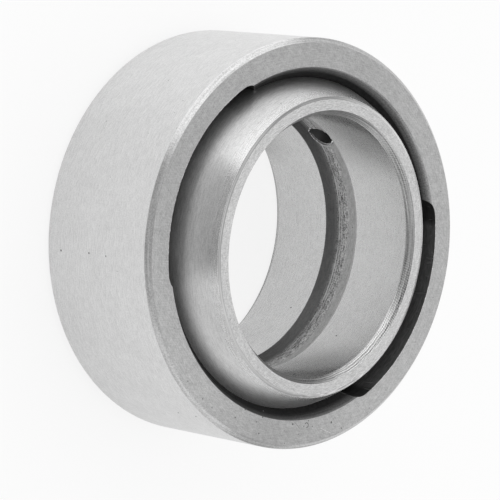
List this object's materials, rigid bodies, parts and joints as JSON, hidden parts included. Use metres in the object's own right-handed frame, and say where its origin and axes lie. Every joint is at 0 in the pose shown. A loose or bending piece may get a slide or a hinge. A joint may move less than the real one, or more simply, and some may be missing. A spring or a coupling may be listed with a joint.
{
  "type": "spherical plain bearing",
  "caption": "Steel spherical plain bearing with a one-piece outer ring, loader slots in one face, and a ball-shaped inner ring whose grooved bore takes a shaft and swivels.",
  "frame": {"origin": "centre of the ball, on the axis of the bore and midway between the inner ring's end faces", "axes": "+Z along the bore toward the slotted face; +X toward the side on which the outer ring has dropped; +Y completes a right-handed frame and is the tilt axis"},
  "size_m": [0.0482, 0.047, 0.022],
  "materials": {
    "ball_steel": "ground and polished ball, ground end faces and bore, as-turned grease groove",
    "ring_steel": "fine-ground outside and end faces, bright mouth chamfers, blackened race and loader slots"
  },
  "bodies": {
    "inner_ring": {"inner_ring": "ball_steel"},
    "outer_ring": {"outer_ring": "ring_steel"}
  },
  "joints": [
    {"name": "tilt", "type": "hinge", "parent": "inner_ring", "child": "outer_ring", "pos_m": [0, 0, 0], "axis": [0, 1, 0], "range_deg": [-11, 1]}
  ]
}
